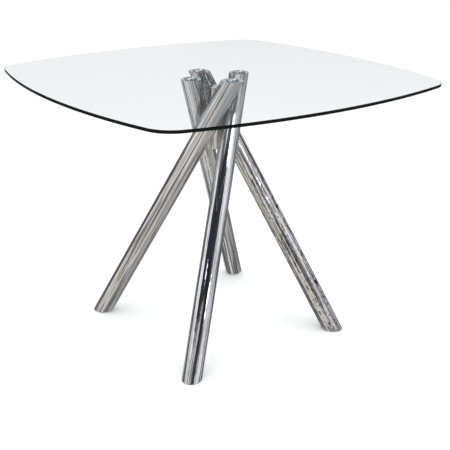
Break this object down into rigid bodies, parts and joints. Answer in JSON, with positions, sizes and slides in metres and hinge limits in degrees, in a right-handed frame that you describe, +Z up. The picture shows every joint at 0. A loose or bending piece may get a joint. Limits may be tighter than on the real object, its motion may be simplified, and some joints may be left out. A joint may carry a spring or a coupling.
{
  "type": "dining table",
  "caption": "Square glass dining table with bowed sides and rounded corners on a base of crossing chrome tubes with hidden screw levellers.",
  "frame": {"origin": "on the floor, midway between the four feet, under the middle of the glass", "axes": "+Z up; +X and +Y run along the table's sides, so that the glass's corners and the four feet lie on the diagonals; front is -Y, right is +X"},
  "size_m": [0.9908, 0.9908, 0.75],
  "materials": {
    "clear_glass": "clear float glass with polished, near-black looking edges",
    "chrome": "mirror-bright chromium plate",
    "clear_polyurethane": "clear, smooth, slightly soft",
    "zinc_plated_steel": "bright zinc plate",
    "nylon": "black moulded nylon"
  },
  "bodies": {
    "base": {"hub_core": "chrome", "tube_back_right": "chrome", "tube_back_left": "chrome", "tube_front_left": "chrome", "tube_front_right": "chrome", "top_cap_back_right": "chrome", "top_cap_back_left": "chrome", "top_cap_front_left": "chrome", "top_cap_front_right": "chrome", "glass_pad_back_right": "clear_polyurethane", "glass_pad_back_left": "clear_polyurethane", "glass_pad_front_left": "clear_polyurethane", "glass_pad_front_right": "clear_polyurethane", "hub_weld_back_right": "chrome", "hub_weld_back_left": "chrome", "hub_weld_front_left": "chrome", "hub_weld_front_right": "chrome", "foot_plate_back_right": "zinc_plated_steel", "foot_plate_back_left": "zinc_plated_steel", "foot_plate_front_left": "zinc_plated_steel", "foot_plate_front_right": "zinc_plated_steel", "weld_nut_back_right": "zinc_plated_steel", "weld_nut_back_left": "zinc_plated_steel", "weld_nut_front_left": "zinc_plated_steel", "weld_nut_front_right": "zinc_plated_steel"},
    "glass": {"glass_top": "clear_glass"},
    "glide_back_right": {"leveller_glide_back_right": "nylon"},
    "screw_back_right": {"leveller_stud_back_right": "zinc_plated_steel"},
    "glide_back_left": {"leveller_glide_back_left": "nylon"},
    "screw_back_left": {"leveller_stud_back_left": "zinc_plated_steel"},
    "glide_front_left": {"leveller_glide_front_left": "nylon"},
    "screw_front_left": {"leveller_stud_front_left": "zinc_plated_steel"},
    "glide_front_right": {"leveller_glide_front_right": "nylon"},
    "screw_front_right": {"leveller_stud_front_right": "zinc_plated_steel"}
  },
  "joints": [
    {"name": "glass_lift", "type": "slide", "parent": "base", "child": "glass", "axis": [0, 0, 1], "range_m": [0, 0.1]},
    {"name": "leveller_travel_back_right", "type": "slide", "parent": "base", "child": "glide_back_right", "axis": [0, 0, -1], "range_m": [0, 0.01]},
    {"name": "leveller_turn_back_right", "type": "hinge", "parent": "glide_back_right", "child": "screw_back_right", "pos_m": [0.24296, 0.24491, 0], "axis": [0, 0, -1], "range_deg": [0, 2880]},
    {"name": "leveller_travel_back_left", "type": "slide", "parent": "base", "child": "glide_back_left", "axis": [0, 0, -1], "range_m": [0, 0.01]},
    {"name": "leveller_turn_back_left", "type": "hinge", "parent": "glide_back_left", "child": "screw_back_left", "pos_m": [-0.24491, 0.24296, 0], "axis": [0, 0, -1], "range_deg": [0, 2880]},
    {"name": "leveller_travel_front_left", "type": "slide", "parent": "base", "child": "glide_front_left", "axis": [0, 0, -1], "range_m": [0, 0.01]},
    {"name": "leveller_turn_front_left", "type": "hinge", "parent": "glide_front_left", "child": "screw_front_left", "pos_m": [-0.24296, -0.24491, 0], "axis": [0, 0, -1], "range_deg": [0, 2880]},
    {"name": "leveller_travel_front_right", "type": "slide", "parent": "base", "child": "glide_front_right", "axis": [0, 0, -1], "range_m": [0, 0.01]},
    {"name": "leveller_turn_front_right", "type": "hinge", "parent": "glide_front_right", "child": "screw_front_right", "pos_m": [0.24491, -0.24296, 0], "axis": [0, 0, -1], "range_deg": [0, 2880]}
  ],
  "couplings": [
    {"joint": "leveller_turn_back_right", "follows": "leveller_travel_back_right", "rad_per_m": 5026.5},
    {"joint": "leveller_turn_back_left", "follows": "leveller_travel_back_left", "rad_per_m": 5026.5},
    {"joint": "leveller_turn_front_left", "follows": "leveller_travel_front_left", "rad_per_m": 5026.5},
    {"joint": "leveller_turn_front_right", "follows": "leveller_travel_front_right", "rad_per_m": 5026.5}
  ]
}
